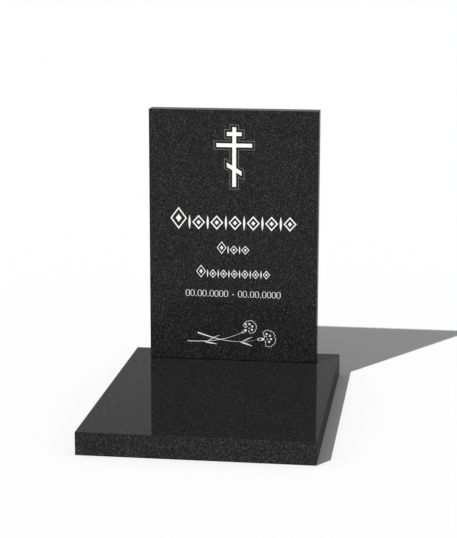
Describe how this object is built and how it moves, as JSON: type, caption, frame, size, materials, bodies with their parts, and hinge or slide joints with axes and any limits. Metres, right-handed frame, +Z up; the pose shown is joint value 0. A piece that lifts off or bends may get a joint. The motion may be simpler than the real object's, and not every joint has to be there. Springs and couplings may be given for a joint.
{
  "type": "grave monument with slab and upright stele",
  "caption": "Small granite grave monument: a flat ground slab with an upright engraved stele pinned near its back edge.",
  "frame": {"origin": "middle of the slab's footprint, at ground level", "axes": "+Z up, +Y from the front of the slab towards the stele, +X to the right as the engraved face is read"},
  "size_m": [0.5, 0.7, 0.652],
  "materials": {
    "polished_granite": "polished black granite",
    "engraved_granite": "polished black granite with light flecks",
    "setting_mortar": "dark fine mortar",
    "dowel_steel": "stainless bar, as drawn",
    "white_enamel": "white stone enamel",
    "grey_enamel": "silver-grey stone enamel"
  },
  "bodies": {
    "root": {"base_slab": "polished_granite", "setting_bed": "setting_mortar", "left_dowel": "dowel_steel", "right_dowel": "dowel_steel", "stele": "engraved_granite", "orthodox_cross": "white_enamel", "cross_outline": "grey_enamel", "surname_ornament": "white_enamel", "given_name_ornament": "white_enamel", "patronymic_ornament": "white_enamel", "date_numerals": "white_enamel", "upper_bloom": "white_enamel", "upper_petals": "white_enamel", "upper_calyx": "white_enamel", "upper_stem": "white_enamel", "upper_leaves": "white_enamel", "lower_bloom": "white_enamel", "lower_petals": "white_enamel", "lower_calyx": "white_enamel", "lower_stem": "white_enamel", "lower_leaves": "white_enamel"}
  },
  "joints": []
}
